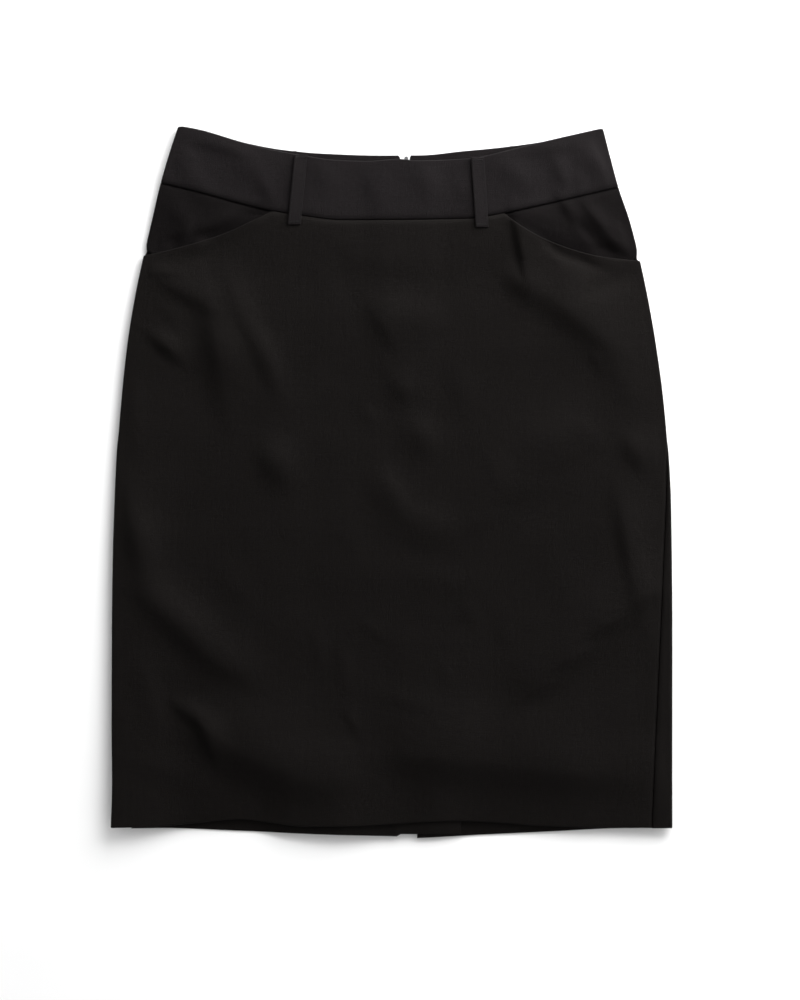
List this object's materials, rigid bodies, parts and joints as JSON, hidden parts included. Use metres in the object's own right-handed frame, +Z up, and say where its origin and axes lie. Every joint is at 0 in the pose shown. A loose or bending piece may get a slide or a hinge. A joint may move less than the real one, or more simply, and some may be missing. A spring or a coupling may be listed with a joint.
{
  "type": "pencil skirt",
  "caption": "Black pencil skirt laid flat, front up, with a shaped waistband, belt loops, slanted side pockets, a centre back zip and a back vent.",
  "frame": {"origin": "on the surface that the skirt lies on, under the middle of its bounding box", "axes": "+X towards the wearer's left, +Y from hem to waist, +Z up off the surface, out of the front"},
  "size_m": [0.5046, 0.6405, 0.0113],
  "materials": {
    "suiting": "matte twill, near black",
    "waistband_suiting": "matte twill over interfacing, near black",
    "zip_tape": "matte woven tape, black",
    "zip_metal": "satin, dark"
  },
  "bodies": {
    "skirt": {"front_panel": "suiting", "hip_piece_right": "suiting", "hip_piece_left": "suiting", "back_panel_right": "suiting", "back_panel_left": "suiting", "waistband_front": "waistband_suiting", "waistband_back_right": "waistband_suiting", "waistband_back_left": "waistband_suiting", "belt_loop_front_right": "waistband_suiting", "belt_loop_front_left": "waistband_suiting", "belt_loop_back_right": "waistband_suiting", "belt_loop_back_left": "waistband_suiting", "zip_tape_right": "zip_tape", "zip_tape_left": "zip_tape", "zip_slider": "zip_metal"},
    "pull_tab": {"zip_pull": "zip_metal"}
  },
  "joints": [
    {"name": "zip_pull_hinge", "type": "hinge", "parent": "skirt", "child": "pull_tab", "pos_m": [0.0126, 0.2872, 0.00095], "axis": [1, 0, 0], "range_deg": [0, 165]}
  ]
}
